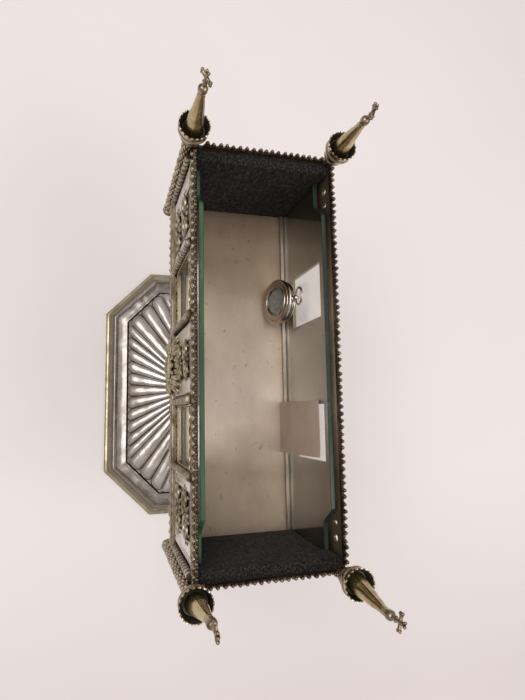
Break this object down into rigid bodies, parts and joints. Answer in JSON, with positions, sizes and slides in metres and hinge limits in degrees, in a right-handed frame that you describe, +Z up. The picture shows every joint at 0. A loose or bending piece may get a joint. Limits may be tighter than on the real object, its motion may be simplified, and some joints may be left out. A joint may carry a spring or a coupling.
{
  "type": "display casket",
  "caption": "Open-topped silver display casket with glazed windows, corner turrets and crested rim, on a stem and a gadrooned octagonal foot.",
  "frame": {"origin": "middle of the foot's underside, on the table", "axes": "+X along the case to its right end, -Y the front, +Z up"},
  "size_m": [0.2755, 0.184, 0.291],
  "materials": {
    "foot_silver": "polished",
    "hidden_steel": "plain",
    "stem_silver": "aged",
    "wall_silver": "tarnished",
    "ornament_silver": "tarnished",
    "turret_gilt": "tarnished",
    "pane_glass": "clear",
    "black_velvet": "pile",
    "capsule_metal": "worn",
    "dial_card": "matte"
  },
  "bodies": {
    "casket": {"foot_border": "foot_silver", "foot_dome": "foot_silver", "foot_base_plate": "hidden_steel", "tie_rod": "hidden_steel", "tie_rod_nuts": "hidden_steel", "turret_rods": "hidden_steel", "stem_lower_spool": "stem_silver", "stem_knop": "stem_silver", "stem_upper_spool": "stem_silver", "case_bearer": "stem_silver", "front_wall": "wall_silver", "back_wall": "wall_silver", "left_end_wall": "wall_silver", "right_end_wall": "wall_silver", "case_floor": "wall_silver", "front_glass_channel": "wall_silver", "back_glass_channel": "wall_silver", "base_moulding": "ornament_silver", "rim_bead": "ornament_silver", "lower_fringe": "ornament_silver", "front_cresting": "ornament_silver", "back_cresting": "ornament_silver", "left_cresting": "ornament_silver", "right_cresting": "ornament_silver", "front_window_colonnettes": "ornament_silver", "back_window_colonnettes": "ornament_silver", "front_scrollwork": "ornament_silver", "back_scrollwork": "ornament_silver", "front_cartouche": "ornament_silver", "back_cartouche": "ornament_silver", "turret_pendants": "ornament_silver", "front_left_shaft": "turret_gilt", "front_left_cup": "turret_gilt", "front_right_shaft": "turret_gilt", "front_right_cup": "turret_gilt", "back_left_shaft": "turret_gilt", "back_left_cup": "turret_gilt", "back_right_shaft": "turret_gilt", "back_right_cup": "turret_gilt", "left_end_pad": "black_velvet", "right_end_pad": "black_velvet"},
    "front_pane": {"front_glass": "pane_glass"},
    "back_pane": {"back_glass": "pane_glass"},
    "capsule": {"capsule_case": "capsule_metal", "capsule_bezel": "capsule_metal", "capsule_crystal": "pane_glass", "capsule_dial": "dial_card", "capsule_pendant": "capsule_metal"},
    "bow": {"capsule_bow": "capsule_metal"},
    "card": {"label_card": "dial_card"},
    "front_left_spire_top": {"front_left_spire": "turret_gilt", "front_left_finial": "turret_gilt"},
    "front_right_spire_top": {"front_right_spire": "turret_gilt", "front_right_finial": "turret_gilt"},
    "back_left_spire_top": {"back_left_spire": "turret_gilt", "back_left_finial": "turret_gilt"},
    "back_right_spire_top": {"back_right_spire": "turret_gilt", "back_right_finial": "turret_gilt"}
  },
  "joints": [
    {"name": "front_glass_lift", "type": "slide", "parent": "casket", "child": "front_pane", "axis": [0, 0, 1], "range_m": [0, 0.085]},
    {"name": "back_glass_lift", "type": "slide", "parent": "casket", "child": "back_pane", "axis": [0, 0, 1], "range_m": [0, 0.085]},
    {"name": "capsule_lift", "type": "slide", "parent": "casket", "child": "capsule", "axis": [0, 0, 1], "range_m": [0, 0.09]},
    {"name": "bow_swing", "type": "hinge", "parent": "capsule", "child": "bow", "pos_m": [-0.0466, 0.03521, 0.18434], "axis": [1, 0, 0], "range_deg": [0, 70]},
    {"name": "card_lift", "type": "slide", "parent": "casket", "child": "card", "axis": [0, 0, 1], "range_m": [0, 0.085]},
    {"name": "front_left_spire_turn", "type": "hinge", "parent": "casket", "child": "front_left_spire_top", "pos_m": [-0.1285, -0.0455, 0.2313], "axis": [0, 0, 1], "continuous": true},
    {"name": "front_right_spire_turn", "type": "hinge", "parent": "casket", "child": "front_right_spire_top", "pos_m": [0.1285, -0.0455, 0.2313], "axis": [0, 0, 1], "continuous": true},
    {"name": "back_left_spire_turn", "type": "hinge", "parent": "casket", "child": "back_left_spire_top", "pos_m": [-0.1285, 0.0455, 0.2313], "axis": [0, 0, 1], "continuous": true},
    {"name": "back_right_spire_turn", "type": "hinge", "parent": "casket", "child": "back_right_spire_top", "pos_m": [0.1285, 0.0455, 0.2313], "axis": [0, 0, 1], "continuous": true}
  ]
}
